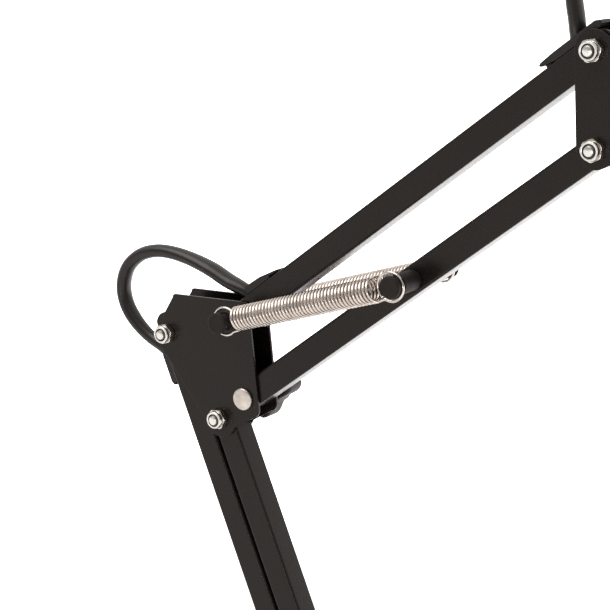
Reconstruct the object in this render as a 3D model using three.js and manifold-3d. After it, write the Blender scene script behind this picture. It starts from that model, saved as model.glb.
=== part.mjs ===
// A desk lamp on two parallelogram arms of square tube, with a round weighted base and a bell shade.
// Millimetres, +Z up. The origin is the centre of the base's underside, on the swivel axis; the arms move in XZ.
import * as THREE from 'three';
import { mergeVertices } from 'three/addons/utils/BufferGeometryUtils.js';
import Module from 'manifold-3d';

const wasm = await Module();
wasm.setup();

// ---- driving dimensions -------------------------------------------------------------------------------------
const GAP = 0.3;                 // clearance between neighbouring pieces
const TUBE = 14;                 // arm tube, outside width
const TUBE_WALL = 1.2;
const TUBE_CORNER = 1.4;
const PAST_PIVOT = 4.2;          // how much longer the cord's tubes are at either end
const SHEET = 1.5;               // thickness of the bracket plates
const LOWER_ARM = 300;           // pivot to pivot
const UPPER_ARM = 246.7;
const LOWER_RISE = THREE.MathUtils.degToRad(113.3);   // direction of the lower arm from +X
const UPPER_RISE = THREE.MathUtils.degToRad(37.12);
const SPRING_REACH = 127.3;      // from a tube's pivot to its spring post

const BOLT_R = 3;                // M6 bolts and pins
const HOLE_R = BOLT_R + GAP;
const NUT_FLATS = 10;
const NUT_STAND = 5.9;
const THREAD_STAND = 6.5;
const BUTTON_R = 5.9;            // flat round head of the bolts
const BUTTON_DEEP = 1.55;

const SPRING_R = 6.5;
const SPRING_END = 10;           // from a post's axis to the spring's body
const SPRING_Y = 24.2;           // spring axis from the arm's middle plane
const SPRING_WALL = 1;
const POST = { collar: 5.2, collarEnd: 21.5, neck: 4.7, neckEnd: 26.5, cap: 5.6, end: 28.9 };

const CORD_R = 3.5;
const KNOB = { lobe: 16.4, valley: 8.5, start: 11, end: 23, hub: 8 };

const BASE = { r: 95, rim: 19, top: 27, sheet: 1.5, pad: 2 };
const STEM = { r: 5.5, bore: 4.2, foot: 13, top: 42, flange: 12 };
const MAINS = { exitZ: 9.5, glandEnd: 122, coil: [-10, 212], coilR: 38, columns: 3, layers: 2 };
const SHADE_TILT = THREE.MathUtils.degToRad(20);
const SHADE_REACH = 38;          // tilt pivot to the shade's axis
const CUP = { r: 20.5, top: 26, foot: -26, wall: 1.5 };

// ---- pivots, as [x, z] ---------------------------------------------------------------------------------------
const along = ([x, z], angle, distance) => [x + distance * Math.cos(angle), z + distance * Math.sin(angle)];
const plus = ([x, z], [dx, dz]) => [x + dx, z + dz];

const BASE_RIGHT = [17.45, 60.4];
const BASE_LEFT = [-17.45, 101.9];
const ELBOW_LEFT = along(BASE_LEFT, LOWER_RISE, LOWER_ARM);
const ELBOW_RIGHT = along(BASE_RIGHT, LOWER_RISE, LOWER_ARM);
const ELBOW_LOW = plus(ELBOW_RIGHT, [15.7, 13.1]);      // lower tube of the upper arm
const ELBOW_HIGH = plus(ELBOW_LOW, [-2.3, 44.3]);       // upper tube and spring pin
const HEAD_LOW = along(ELBOW_LOW, UPPER_RISE, UPPER_ARM);
const HEAD_HIGH = along(ELBOW_HIGH, UPPER_RISE, UPPER_ARM);
const TILT = plus(HEAD_HIGH, [43.3, -25]);
const LOWER_POST = along(BASE_RIGHT, LOWER_RISE, SPRING_REACH);
const UPPER_POST = along(ELBOW_LOW, UPPER_RISE, SPRING_REACH);

const TUBE_FACE = TUBE / 2;
const PLATE_IN = TUBE_FACE + GAP;
const PLATE_OUT = PLATE_IN + SHEET;

// ---- materials -----------------------------------------------------------------------------------------------
const finish = {
  black_enamel: { color: 0x322e2c, roughness: 0.45, metalness: 0.3 },
  zinc: { color: 0xc9c7c0, roughness: 0.3, metalness: 1 },
  nickel: { color: 0xcbc5b6, roughness: 0.25, metalness: 1 },
  black_plastic: { color: 0x2b2928, roughness: 0.5, metalness: 0 },
  cord_rubber: { color: 0x2d2a29, roughness: 0.6, metalness: 0 },
  cast_iron: { color: 0x4a4a4a, roughness: 0.8, metalness: 0.8 },
  felt: { color: 0x232323, roughness: 1, metalness: 0 },
  opal_glass: { color: 0xf4f2ec, roughness: 0.2, metalness: 0 },
  brass: { color: 0xc9a050, roughness: 0.3, metalness: 1 },
};

const lamp = new THREE.Group();

function add(name, geometry, slot, place = {}) {
  const mesh = new THREE.Mesh(geometry, new THREE.MeshStandardMaterial(finish[slot]));
  mesh.name = name;
  mesh.position.set(...(place.at ?? [0, 0, 0]));
  mesh.rotation.set(...(place.turn ?? [0, 0, 0]));
  lamp.add(mesh);
  return mesh;
}

// ---- closed geometry and booleans ----------------------------------------------------------------------------
function welded(geometry) {
  const bare = geometry.clone();
  for (const name of Object.keys(bare.attributes)) if (name !== 'position') bare.deleteAttribute(name);
  return mergeVertices(bare, 1e-4);
}

function toSolid(geometry) {
  const mesh = welded(geometry);
  const made = new wasm.Manifold(new wasm.Mesh({
    numProp: 3,
    vertProperties: new Float32Array(mesh.attributes.position.array),
    triVerts: new Uint32Array(mesh.index.array),
  }));
  if (made.volume() > 0) return made;
  const turned = Uint32Array.from(mesh.index.array);
  for (let i = 0; i < turned.length; i += 3) [turned[i + 1], turned[i + 2]] = [turned[i + 2], turned[i + 1]];
  return new wasm.Manifold(new wasm.Mesh({
    numProp: 3,
    vertProperties: new Float32Array(mesh.attributes.position.array),
    triVerts: turned,
  }));
}

function toGeometry(made) {
  const { numProp, vertProperties, triVerts } = made.getMesh();
  const positions = new Float32Array((vertProperties.length / numProp) * 3);
  for (let i = 0; i < positions.length / 3; i++) {
    positions.set(vertProperties.subarray(i * numProp, i * numProp + 3), i * 3);
  }
  const geometry = new THREE.BufferGeometry();
  geometry.setAttribute('position', new THREE.BufferAttribute(positions, 3));
  geometry.setIndex(new THREE.BufferAttribute(new Uint32Array(triVerts), 1));
  geometry.computeVertexNormals();
  return geometry;
}

const cut = (body, ...tools) => toGeometry(tools.reduce((left, tool) => left.subtract(toSolid(tool)), toSolid(body)));
const join = (...bodies) => toGeometry(bodies.map(toSolid).reduce((sum, next) => sum.add(next)));
const common = (a, b) => toGeometry(toSolid(a).intersect(toSolid(b)));

// ---- basic forms ---------------------------------------------------------------------------------------------
// The hull of round discs [x, z, radius], given anticlockwise, as a list of 2-D points.
function hullOfDiscs(discs, steps = 6) {
  const points = [];
  discs.forEach(([x, z, r], i) => {
    const leave = outerTangent(discs[i], discs[(i + 1) % discs.length]);
    const arrive = outerTangent(discs[(i + discs.length - 1) % discs.length], discs[i]);
    let sweep = (leave - arrive) % (2 * Math.PI);
    if (sweep < 0) sweep += 2 * Math.PI;
    for (let k = 0; k <= steps; k++) {
      const angle = arrive + (sweep * k) / steps;
      points.push(new THREE.Vector2(x + r * Math.cos(angle), z + r * Math.sin(angle)));
    }
  });
  return points;
}

// Direction, from a disc's centre, of the point where its outer tangent to the next disc starts.
function outerTangent([ax, az, ar], [bx, bz, br]) {
  const heading = Math.atan2(bz - az, bx - ax);
  return heading - Math.PI / 2 + Math.asin((br - ar) / Math.hypot(bx - ax, bz - az));
}

// An outline in XZ, with round holes [x, z, radius], made thick along Y from y to y + depth.
function slab(points, y, depth, holes = []) {
  const shape = new THREE.Shape(points);
  for (const [x, z, r] of holes) {
    shape.holes.push(new THREE.Path().absarc(x, z, r, 0, 2 * Math.PI, true));
  }
  const geometry = new THREE.ExtrudeGeometry(shape, { depth, bevelEnabled: false, curveSegments: 8 });
  return geometry.rotateX(Math.PI / 2).translate(0, y + depth, 0);
}

// A turned form: [radius, height] points round the Z axis.
function turned(profile, segments = 32) {
  const points = profile.map(([r, h]) => new THREE.Vector2(r, h));
  return welded(new THREE.LatheGeometry(points, segments)).rotateX(Math.PI / 2);
}

// A turned form whose axis is along Y through [x, z]: [radius, y] points.
function turnedY(profile, [x, z], segments = 16) {
  const points = profile.map(([r, h]) => new THREE.Vector2(r, h));
  return new THREE.LatheGeometry(points, segments).translate(x, 0, z);
}

const solidRod = (r, low, high) => [[0, low], [r, low], [r, high], [0, high]];
const sleeve = (outer, inner, low, high) => [[inner, low], [outer, low], [outer, high], [inner, high], [inner, low]];
const upright = (made) => toGeometry(toSolid(made));

function box(x, y, z, at) {
  return new THREE.BoxGeometry(x, y, z).translate(...at);
}

function hexagon(flats, y, depth, [x, z], turn = 0) {
  const r = flats / Math.sqrt(3);
  const points = Array.from({ length: 6 }, (_, k) => {
    const angle = turn + (k * Math.PI) / 3;
    return new THREE.Vector2(x + r * Math.cos(angle), z + r * Math.sin(angle));
  });
  return slab(points, y, depth);
}

// A round cord through the points, from the first to the last.
function cord(points, steps, sides = 8, r = CORD_R) {
  const path = new THREE.CatmullRomCurve3(points.map((p) => new THREE.Vector3(...p)), false, 'centripetal');
  const section = new THREE.Shape(Array.from({ length: sides }, (_, k) => {
    const angle = (2 * Math.PI * k) / sides;
    return new THREE.Vector2(r * Math.cos(angle), r * Math.sin(angle));
  }));
  return new THREE.ExtrudeGeometry(section, { steps, extrudePath: path, bevelEnabled: false });
}

// ---- bolts, nuts, pins, knobs --------------------------------------------------------------------------------
// A bolt through both plates at a pivot, flat round head on one side, its shank to end on the other.
function bolt(name, pivot, side, end) {
  const face = PLATE_OUT + GAP;
  const profile = [
    [0, -end], [BOLT_R, -end], [BOLT_R, face], [BUTTON_R, face], [BUTTON_R - 0.3, face + BUTTON_DEEP - 0.5],
    [BUTTON_R - 1.2, face + BUTTON_DEEP], [0, face + BUTTON_DEEP],
  ];
  const placed = side > 0 ? profile : profile.map(([r, y]) => [r, -y]).reverse();
  add(name, upright(turnedY(placed, pivot)), 'zinc');
}

function lockNut(name, pivot, turn) {
  const hexDeep = 3.2;
  const collarR = 4.6;
  const low = -PLATE_OUT - GAP;
  const hex = hexagon(NUT_FLATS, low - hexDeep, hexDeep, pivot, turn);
  const collar = turnedY(solidRod(collarR, -PLATE_OUT - NUT_STAND, low - 1), pivot);
  const bore = turnedY(solidRod(HOLE_R, -PLATE_OUT - THREAD_STAND - 1, low + 1), pivot);
  add(name, cut(join(hex, collar), bore), 'zinc');
}

const pivotBolt = (name, pivot) => bolt(name, pivot, 1, PLATE_OUT + THREAD_STAND);
const tensionBolt = (name, pivot) => bolt(name, pivot, -1, KNOB.end - 4);

// Three lobes round a hub, bored from the front.
function knob(name, pivot) {
  const outline = Array.from({ length: 48 }, (_, k) => {
    const angle = (2 * Math.PI * k) / 48;
    const swell = (1 + Math.cos(3 * (angle - Math.PI / 10))) / 2;
    const r = KNOB.valley + (KNOB.lobe - KNOB.valley) * swell ** 1.8;
    return new THREE.Vector2(pivot[0] + r * Math.cos(angle), pivot[1] + r * Math.sin(angle));
  });
  const lobes = slab(outline, KNOB.start, KNOB.end - KNOB.start);
  const hub = turnedY(solidRod(KNOB.hub, PLATE_OUT + GAP, KNOB.end + 1.5), pivot);
  const bore = turnedY(solidRod(HOLE_R, PLATE_OUT, KNOB.end - 4 + GAP), pivot);
  add(name, cut(join(lobes, hub), bore), 'black_plastic');
}

// A pin with a spool at each end, on which a spring's loop sits; inner is where the spools start.
function springPin(name, pivot, inner) {
  const half = [
    [BOLT_R, inner], [POST.collar, inner], [POST.collar, POST.collarEnd], [POST.neck, POST.collarEnd],
    [POST.neck, POST.neckEnd], [POST.cap, POST.neckEnd], [POST.cap, POST.end - 0.8], [POST.cap - 0.8, POST.end],
    [0, POST.end],
  ];
  const other = half.map(([r, y]) => [r, -y]).reverse();
  add(name, upright(turnedY([...other, ...half], pivot)), 'black_enamel');
}

// An extension spring between two posts, as the tube that its coils fill.
function spring(name, from, to, side) {
  const reach = Math.hypot(to[0] - from[0], to[1] - from[1]);
  const angle = Math.atan2(to[1] - from[1], to[0] - from[0]);
  const body = upright(turned(sleeve(SPRING_R, SPRING_R - SPRING_WALL, SPRING_END, reach - SPRING_END), 16));
  add(name, body, 'nickel', { at: [from[0], side * SPRING_Y, from[1]], turn: [0, Math.PI / 2 - angle, 0] });
}

// ---- arm tubes and cord hoods --------------------------------------------------------------------------------
const SLOT = { start: 2, end: 26.5, half: 3.9 };

function squareTube(length) {
  const ring = (half, r) => hullOfDiscs([[-half + r, -half + r, r], [half - r, -half + r, r],
    [half - r, half - r, r], [-half + r, half - r, r]], 3);
  const outer = new THREE.Shape(ring(TUBE_FACE, TUBE_CORNER));
  outer.holes.push(new THREE.Path(ring(TUBE_FACE - TUBE_WALL, TUBE_CORNER - TUBE_WALL + 0.3).reverse()));
  const geometry = new THREE.ExtrudeGeometry(outer, { depth: length, bevelEnabled: false });
  return geometry.rotateY(Math.PI / 2);
}

// A tube from the origin along +X with round ends at its two pivots. The cord's tubes run on past them, and have a
// slot in their top face at either end.
function armTube(name, pivot, angle, length, { slots = false, postAt } = {}) {
  const past = slots ? PAST_PIVOT : 0;
  const stock = squareTube(length + 2 * (past + TUBE_FACE)).translate(-past - TUBE_FACE, 0, 0);
  const rounded = slab(hullOfDiscs([[-past, 0, TUBE_FACE], [length + past, 0, TUBE_FACE]], 12), -TUBE, 2 * TUBE);
  const holes = [0, length, ...(postAt ? [postAt] : [])].map((s) => (
    turnedY(solidRod(HOLE_R, -TUBE, TUBE), [s, 0])));
  const slotLong = SLOT.end - SLOT.start;
  const middle = (SLOT.start + SLOT.end) / 2;
  const openings = slots ? [middle, length - middle].map((s) => (
    box(slotLong, 2 * SLOT.half, TUBE_WALL * 4, [s, 0, TUBE_FACE]))) : [];
  add(name, cut(common(stock, rounded), ...holes, ...openings), 'black_enamel', {
    at: [pivot[0], 0, pivot[1]], turn: [0, -angle, 0],
  });
}

// A hood over a slot: side view as [s along the tube, height over its face]. The cord comes in between its cheeks,
// under its sheet and into the slot; its foot fills the slot's far end.
const HOOD = { half: 5.4, under: 3, mouth: 16, high: 4.2 };
const bluntHood = [[9, GAP], [9, 3.2], [10.5, HOOD.high], [25.5, HOOD.high], [27.5, 3.4], [28, 2], [26.5, 1.5],
  [26.5, GAP]];
const longHood = [[-7, GAP], [-8.9, 1.2], [-8.9, 2.7], [-6.4, HOOD.high], [19, HOOD.high], [27.2, 3.7], [28.3, 3],
  [27.9, 2.1], [23, 1], [19.5, GAP]];
const taperedHood = [[9, GAP], [9, 3.5], [10.5, 4.4], [21, 4], [33, 1.7], [34, 1], [33, 0.7], [27, 1.4], [26.5, GAP]];

function cordHood(name, pivot, angle, side, length = 0) {
  const at = (s) => (length ? length - s : s);
  const outline = side.map(([s, h]) => new THREE.Vector2(at(s), TUBE_FACE + h));
  const hood = slab(length ? outline.reverse() : outline, -HOOD.half, 2 * HOOD.half);
  const footLong = 3;
  const footStart = SLOT.end - GAP - footLong;
  const between = (low, high, bottom, top, wide) => (
    box(high - low, wide, top - bottom, [at((low + high) / 2), 0, TUBE_FACE + (bottom + top) / 2]));
  const channel = between(0, footStart, 0, HOOD.under, 2 * SLOT.half);
  const mouth = between(0, HOOD.mouth, 0, 9, 2 * SLOT.half);
  const foot = between(footStart, footStart + footLong, -1.2, HOOD.under, 2 * (SLOT.half - GAP));
  add(name, join(cut(hood, channel, mouth), foot), 'black_plastic', {
    at: [pivot[0], 0, pivot[1]], turn: [0, -angle, 0],
  });
}

// ---- a pair of bracket plates --------------------------------------------------------------------------------
function bracketPlates(prefix, frontDiscs, rearDiscs, pivots, ear) {
  [['front', frontDiscs, -PLATE_OUT], ['rear', rearDiscs, PLATE_IN]].forEach(([side, discs, y]) => {
    const holes = pivots.map((pivot) => turnedY(solidRod(HOLE_R, y - 1, y + SHEET + 1), pivot));
    const sheet = slab(hullOfDiscs(discs), y, SHEET);
    const round = ear ? [turnedY(solidRod(ear[2], y, y + SHEET), ear, 36)] : [];
    add(`${prefix}_plate_${side}`, cut(join(sheet, ...round), ...holes), 'black_enamel');
  });
}

// ---- base ----------------------------------------------------------------------------------------------------
const BUSH = { r: 10, bore: STEM.r + GAP, low: 19.6, flange: 14, flangeDeep: 2 };
const WEIGHT = { r: BASE.r - 5, low: BASE.pad + 1, recessR: 16, recessTop: 19.3 };
const GLAND = { neck: 5.3, inside: 6.5, outside: 6.8, wallY: BASE.r - 3.6, start: BASE.r - 7 };

const coverOutside = [[BASE.r, BASE.pad + GAP], [BASE.r, BASE.rim - 5], [BASE.r - 1.4, BASE.rim - 1.8],
  [BASE.r - 4.5, BASE.rim], [BASE.r - 30, BASE.rim + 4.5], [BASE.r - 60, BASE.top - 1], [BUSH.r + 6, BASE.top],
  [BUSH.r + GAP, BASE.top]];
const coverInside = coverOutside.map(([r, z], i) => (
  i < 3 ? [r - BASE.sheet, Math.min(z, BASE.rim - 3)] : [r - (i < 7 ? 0.4 : 0), z - BASE.sheet])).reverse();
const cordHole = new THREE.CylinderGeometry(GLAND.neck + GAP, GLAND.neck + GAP, 30, 16)
  .translate(0, BASE.r, MAINS.exitZ);
add('base_cover', cut(turned([...coverOutside, ...coverInside, coverOutside[0]], 48), cordHole), 'black_enamel');

const weightBody = turned([[BUSH.r + GAP, WEIGHT.recessTop], [WEIGHT.recessR, WEIGHT.recessTop],
  [WEIGHT.recessR, WEIGHT.low], [WEIGHT.r, WEIGHT.low], [WEIGHT.r, BASE.rim - 5], [WEIGHT.r - 4, BASE.rim - 3],
  [BASE.r - 30, BASE.rim + 1.5], [BUSH.r + GAP, BASE.top - 3.5], [BUSH.r + GAP, WEIGHT.recessTop]], 36);
const cordChannel = box(9, BASE.r, 12, [0, BASE.r / 2, WEIGHT.low + 5.9]);
const channelRoom = new THREE.CylinderGeometry(7.2, 7.2, 16, 16).translate(0, BASE.r - 3, MAINS.exitZ);
add('base_weight', cut(weightBody, cordChannel, channelRoom), 'cast_iron');
add('base_foot_pad', upright(turned(solidRod(BASE.r - 1, 0, BASE.pad), 48)), 'felt');
add('swivel_bush', upright(turned([[BUSH.bore, BUSH.low], [BUSH.r, BUSH.low], [BUSH.r, BASE.top + GAP],
  [BUSH.flange, BASE.top + GAP], [BUSH.flange, BASE.top + GAP + BUSH.flangeDeep],
  [BUSH.bore, BASE.top + GAP + BUSH.flangeDeep], [BUSH.bore, BUSH.low]], 32)), 'black_plastic');

// ---- stem and base bracket -----------------------------------------------------------------------------------
const FLANGE_LOW = BASE.top + 2 * GAP + BUSH.flangeDeep;
const BLOCK = { low: FLANGE_LOW + 3.3, high: 50, half: 15 };
add('swivel_stem', upright(turned([[STEM.bore, STEM.foot], [STEM.r, STEM.foot], [STEM.r, FLANGE_LOW],
  [STEM.flange, FLANGE_LOW], [STEM.flange, FLANGE_LOW + 3], [STEM.r, FLANGE_LOW + 3], [STEM.r, STEM.top],
  [STEM.bore, STEM.top], [STEM.bore, STEM.foot]], 32)), 'zinc');
const stemNut = hexagon(19, 0, 5, [0, 0]).rotateX(Math.PI / 2).translate(0, 0, STEM.foot + 1);
const stemNutBore = new THREE.CylinderGeometry(STEM.r + GAP, STEM.r + GAP, 60, 24).rotateX(Math.PI / 2);
add('stem_nut', cut(stemNut, stemNutBore), 'zinc');

const blockBore = new THREE.CylinderGeometry(STEM.r + GAP, STEM.r + GAP, 2 * (STEM.top + GAP - BLOCK.low), 24)
  .rotateX(Math.PI / 2).translate(0, 0, BLOCK.low);
const blockCordHole = new THREE.CylinderGeometry(CORD_R + 0.8, CORD_R + 0.8, 40, 24).rotateX(Math.PI / 2)
  .translate(0, 0, BLOCK.high);
add('bracket_block', cut(box(2 * BLOCK.half, TUBE, BLOCK.high - BLOCK.low, [0, 0, (BLOCK.high + BLOCK.low) / 2]),
  blockBore, blockCordHole), 'black_enamel');

const basePlate = [[-14, BLOCK.low + 2, 2], [14, BLOCK.low + 2, 2], [...BASE_RIGHT, 9.3], [...BASE_LEFT, 9.3]];
bracketPlates('base', basePlate, basePlate, [BASE_LEFT, BASE_RIGHT]);
springPin('base_spring_pin', BASE_LEFT, PLATE_OUT + GAP);
tensionBolt('base_tension_bolt', BASE_RIGHT);
knob('base_knob', BASE_RIGHT);

// ---- lower arm -----------------------------------------------------------------------------------------------
armTube('lower_tube_left', BASE_LEFT, LOWER_RISE, LOWER_ARM, { slots: true });
armTube('lower_tube_right', BASE_RIGHT, LOWER_RISE, LOWER_ARM, { postAt: SPRING_REACH });
cordHood('cord_hood_base', BASE_LEFT, LOWER_RISE, bluntHood);
cordHood('cord_hood_elbow_lower', BASE_LEFT, LOWER_RISE, bluntHood, LOWER_ARM);
springPin('lower_spring_post', LOWER_POST, TUBE_FACE + GAP);
spring('lower_spring_front', BASE_LEFT, LOWER_POST, -1);
spring('lower_spring_rear', BASE_LEFT, LOWER_POST, 1);

// ---- elbow ---------------------------------------------------------------------------------------------------
const elbowPlate = [[...ELBOW_LEFT, 8.8], [...ELBOW_RIGHT, 8.7], [...plus(ELBOW_LOW, [5.2, -4.9]), 4.7],
  [...plus(ELBOW_LOW, [1.4, 50.3]), 2], [...plus(ELBOW_LOW, [-45, 49]), 1.5]];
bracketPlates('elbow', elbowPlate, elbowPlate, [ELBOW_LEFT, ELBOW_RIGHT, ELBOW_LOW, ELBOW_HIGH],
  [...ELBOW_RIGHT, 10.4]);
springPin('elbow_spring_pin', ELBOW_HIGH, PLATE_OUT + GAP);
pivotBolt('elbow_bolt_left', ELBOW_LEFT);
lockNut('elbow_nut_left', ELBOW_LEFT, 0.3);
pivotBolt('elbow_bolt_right', ELBOW_RIGHT);
lockNut('elbow_nut_right', ELBOW_RIGHT, 0.1);
tensionBolt('elbow_tension_bolt', ELBOW_LOW);
knob('elbow_knob', ELBOW_LOW);

// ---- upper arm -----------------------------------------------------------------------------------------------
armTube('upper_tube_high', ELBOW_HIGH, UPPER_RISE, UPPER_ARM, { slots: true });
armTube('upper_tube_low', ELBOW_LOW, UPPER_RISE, UPPER_ARM, { postAt: SPRING_REACH });
cordHood('cord_hood_elbow_upper', ELBOW_HIGH, UPPER_RISE, taperedHood);
cordHood('cord_hood_head', ELBOW_HIGH, UPPER_RISE, longHood, UPPER_ARM);
springPin('upper_spring_post', UPPER_POST, TUBE_FACE + GAP);
spring('upper_spring_front', ELBOW_HIGH, UPPER_POST, -1);
spring('upper_spring_rear', ELBOW_HIGH, UPPER_POST, 1);

// ---- head bracket --------------------------------------------------------------------------------------------
bracketPlates('head', [[...HEAD_LOW, 9.3], [...TILT, 9.3], [...HEAD_HIGH, 9.5]],
  [[...HEAD_LOW, 9.3], [...TILT, 9.3], [...HEAD_HIGH, 12.4]], [HEAD_LOW, HEAD_HIGH, TILT]);
pivotBolt('head_bolt_high', HEAD_HIGH);
lockNut('head_nut_high', HEAD_HIGH, 0.2);
pivotBolt('head_bolt_low', HEAD_LOW);
lockNut('head_nut_low', HEAD_LOW, 0.45);
tensionBolt('head_tension_bolt', TILT);
knob('head_knob', TILT);

// ---- shade, in a frame on the shade's axis -------------------------------------------------------------------
const shadeAt = along(TILT, SHADE_TILT, SHADE_REACH);
const inShade = { at: [shadeAt[0], 0, shadeAt[1]], turn: [0, -SHADE_TILT, 0] };
const CUP_CORD = -12;            // where the cord enters the cup's top
const BUTTON = { r: 5, travel: 2.5, stand: 4 };

const tongue = slab(hullOfDiscs([[-SHADE_REACH, 0, 8.5], [-CUP.r + 4, -9, 3], [-CUP.r + 4, 9, 3]]),
  -TUBE_FACE + 0.4, 2 * (TUBE_FACE - 0.4), [[-SHADE_REACH, 0, HOLE_R]]);
const cupShell = turned([[0, CUP.top - CUP.wall], [CUP.r - CUP.wall, CUP.top - CUP.wall], [CUP.r - CUP.wall, CUP.foot],
  [CUP.r, CUP.foot], [CUP.r, CUP.top - 3], [CUP.r - 3, CUP.top], [0, CUP.top]], 28);
const cupRoom = turned(solidRod(CUP.r - CUP.wall, CUP.foot - 1, CUP.top - CUP.wall), 28);
const buttonHole = turned(solidRod(BUTTON.r + GAP, 0, CUP.top + 10), 24);
const cupCordHole = turned(solidRod(CORD_R + GAP, 0, CUP.top + 10), 16).translate(CUP_CORD, 0, 0);
add('socket_cup', cut(join(cut(tongue, cupRoom), cupShell), buttonHole, cupCordHole), 'black_enamel', inShade);

const shadeOutside = [[22.2, -22], [24, -23.5], [30, -29], [40, -38], [49, -51], [56, -68], [60.5, -86], [62.5, -100],
  [64.5, -106]];
const shadeInside = shadeOutside.map(([r, z]) => [r - 1.1, z - 0.5]).reverse();
add('shade', upright(turned([[CUP.r + GAP, -22], ...shadeOutside, ...shadeInside, [CUP.r + GAP, -23.1],
  [CUP.r + GAP, -22]], 32)), 'black_enamel', inShade);
add('lampholder', upright(turned([[0, 12], [13, 12], [15, 8], [15, -30], [10.2, -30], [10.2, -14], [0, -14]], 20)),
  'black_plastic', inShade);
add('bulb_cap', upright(turned([[0, -14.5], [5, -14.5], [9.6, -17], [9.6, -34], [0, -34]], 20)), 'brass', inShade);
const bulbR = 22.5;
const bulbMiddle = -66;
const bulbGlass = [[0, -34.4], [8, -34.4], [9.5, -38], [14, bulbMiddle + 18.5]];
for (let k = 1; k <= 9; k++) {
  const angle = Math.PI * 0.31 - (Math.PI * 0.81 * k) / 9;
  bulbGlass.push([Math.max(bulbR * Math.cos(angle), 0), bulbMiddle + bulbR * Math.sin(angle)]);
}
bulbGlass[bulbGlass.length - 1] = [0, bulbMiddle - bulbR];
add('bulb', upright(turned(bulbGlass, 20)), 'opal_glass', inShade);
add('switch_button', upright(turned([[0, CUP.top - 8], [BUTTON.r, CUP.top - 8], [BUTTON.r, CUP.top + BUTTON.stand - 1],
  [BUTTON.r - 1, CUP.top + BUTTON.stand], [0, CUP.top + BUTTON.stand]], 20)), 'black_plastic', inShade);

// ---- cords held by the lamp ----------------------------------------------------------------------------------
// A point of a tube's own frame: s along the tube from its pivot, h above its middle.
const onTube = (pivot, angle, s, h) => {
  const [x, z] = along(along(pivot, angle, s), angle + Math.PI / 2, h);
  return [x, 0, z];
};
const inPlane = (origin, points) => points.map(([dx, dz]) => [origin[0] + dx, 0, origin[1] + dz]);

const innerEnd = 34;             // where a cord inside a tube starts, from the pivot
// How a cord goes into a tube's slot, as [s, h]; at a tube's far end it runs the other way.
const LOWER_ENTRY = [[5.5, 13.6], [8.4, 11.4], [12, 8.5], [16, 5.3], [21, 2.3], [26.5, 0.3], [31, 0],
  [innerEnd - GAP, 0]];
const ELBOW_ENTRY = [[4.6, 11.9], [7, 7.2], [10.2, 3.6], [14.5, 1.4], [20, 0.4], [innerEnd - GAP, 0]];
const HEAD_ENTRY = [[7.4, 9.8], [9.8, 6.2], [13.5, 3.2], [19, 1.2], [26, 0.3], [innerEnd - GAP, 0]];
const intoTube = (entry, pivot, angle) => entry.map(([s, h]) => onTube(pivot, angle, s, h));
const outOfTube = (entry, pivot, angle, length) => (
  entry.map(([s, h]) => onTube(pivot, angle, length - s, h)).reverse());
add('cord_in_lower_arm', cord([onTube(BASE_LEFT, LOWER_RISE, innerEnd, 0),
  onTube(BASE_LEFT, LOWER_RISE, LOWER_ARM / 2, 0), onTube(BASE_LEFT, LOWER_RISE, LOWER_ARM - innerEnd, 0)], 4),
'cord_rubber');
add('cord_in_upper_arm', cord([onTube(ELBOW_HIGH, UPPER_RISE, innerEnd, 0),
  onTube(ELBOW_HIGH, UPPER_RISE, UPPER_ARM / 2, 0), onTube(ELBOW_HIGH, UPPER_RISE, UPPER_ARM - innerEnd, 0)], 4),
'cord_rubber');

// From the strain relief through the weight's channel and up the stem.
add('cord_in_base', cord([[0, GLAND.start - GAP, MAINS.exitZ], [0, 78, 8.8], [0, 62, 6.9], [0, 45, 6.3], [0, 20, 6.2],
  [0, 10, 6.2], [0, 4.8, 6.7], [0, 1.2, 8.9], [0, 0, 12], [0, 0, 16], [0, 0, 20.3]], 22), 'cord_rubber');

// Out of the stem, over the block and round into the lower arm.
add('base_cord_loop', cord([[0, 0, 20.6], [0, 0, 36], [0, 0, 50], [-2, 0, 57], [-9, 0, 64], [-20, 0, 68], [-29, 0, 74],
  [-33.5, 0, 84], [-34.5, 0, 94], ...intoTube(LOWER_ENTRY, BASE_LEFT, LOWER_RISE)], 20), 'cord_rubber');

// Out of the lower arm, round the outside of the elbow and into the upper arm; distances from the elbow's low pivot.
add('elbow_cord_loop', cord([...outOfTube(LOWER_ENTRY, BASE_LEFT, LOWER_RISE, LOWER_ARM),
  ...inPlane(ELBOW_LOW, [[-69.8, 22], [-79.5, 29.6], [-85.7, 38.4], [-87.5, 48.3], [-84.4, 58.2], [-75.7, 66.3],
    [-65.3, 70], [-55.2, 70.6], [-42, 68.9], [-26.8, 64.7], [-15.5, 59.9]]),
  ...intoTube(ELBOW_ENTRY, ELBOW_HIGH, UPPER_RISE)], 32), 'cord_rubber');

// Out of the upper arm, up and over into the socket cup; distances from the head's high pivot.
const cupEntry = along(shadeAt, SHADE_TILT, CUP_CORD);
const cupPoint = (h) => {
  const [x, z] = along(cupEntry, SHADE_TILT + Math.PI / 2, h);
  return [x, 0, z];
};
add('head_cord_loop', cord([...outOfTube(HEAD_ENTRY, ELBOW_HIGH, UPPER_RISE, UPPER_ARM),
  ...inPlane(HEAD_HIGH, [[-12.9, 12], [-14.5, 20.7], [-15.6, 36], [-11, 51], [0, 61], [15, 64], [30, 59], [42, 47]]),
  cupPoint(CUP.top + 16), cupPoint(CUP.top + 4), cupPoint(CUP.top - 6)], 26), 'cord_rubber');

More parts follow.
